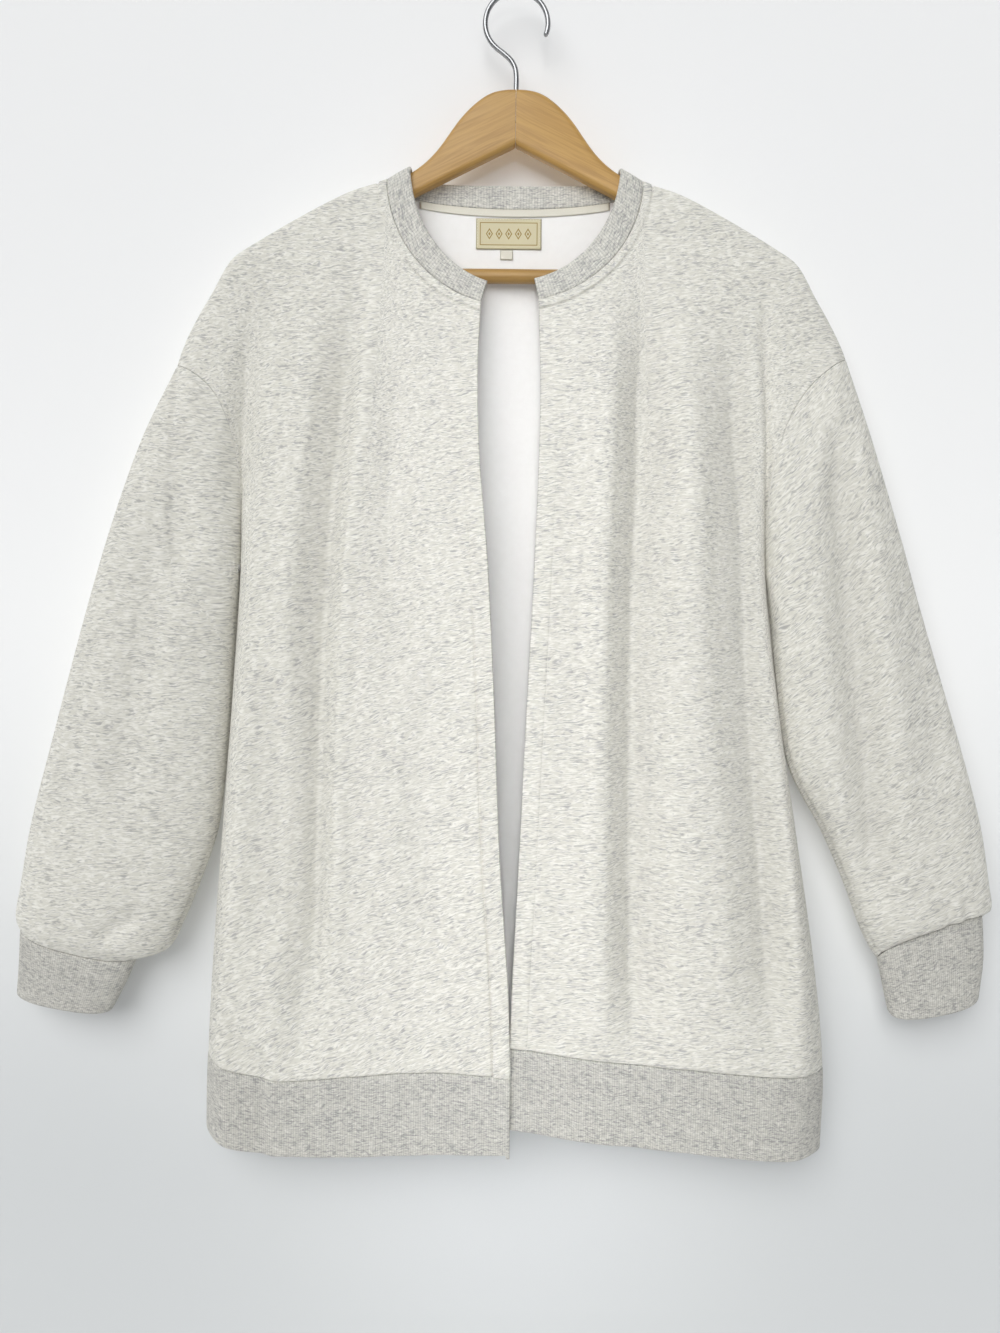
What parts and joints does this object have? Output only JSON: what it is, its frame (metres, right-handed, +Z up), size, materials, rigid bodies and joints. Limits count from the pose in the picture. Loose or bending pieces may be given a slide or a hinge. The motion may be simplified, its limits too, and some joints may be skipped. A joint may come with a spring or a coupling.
{
  "type": "sweatshirt cardigan on a wooden hanger",
  "caption": "Open-front heather fleece cardigan with dropped shoulders, full sleeves and ribbed neckband, cuffs and hem, hanging on a wooden hanger with a wire hook.",
  "frame": {"origin": "the point inside the top of the hanger's hook that rests on a rail", "axes": "+Z up, the front of the garment faces -Y, the wearer's left is +X"},
  "size_m": [0.7645, 0.0568, 0.8957],
  "materials": {
    "heather_fleece": "oatmeal heather sweatshirt fleece, brushed white inside",
    "rib": "oatmeal heather one by one rib knit",
    "cream_tape": "cream twill tape",
    "woven_label": "beige satin woven label with a plain gold border",
    "hanger_wood": "clear varnished honey coloured hardwood",
    "hook_steel": "plated steel wire"
  },
  "bodies": {
    "root": {"front_right": "heather_fleece", "front_left": "heather_fleece", "back": "heather_fleece", "sleeve_right": "heather_fleece", "sleeve_left": "heather_fleece", "cuff_right": "rib", "cuff_left": "rib", "neckband": "rib", "hem_band": "rib", "neck_tape": "cream_tape", "label": "woven_label", "size_tab": "cream_tape", "hanger_arm_right": "hanger_wood", "hanger_arm_left": "hanger_wood", "hanger_bar": "hanger_wood", "hanger_hook": "hook_steel"}
  },
  "joints": []
}
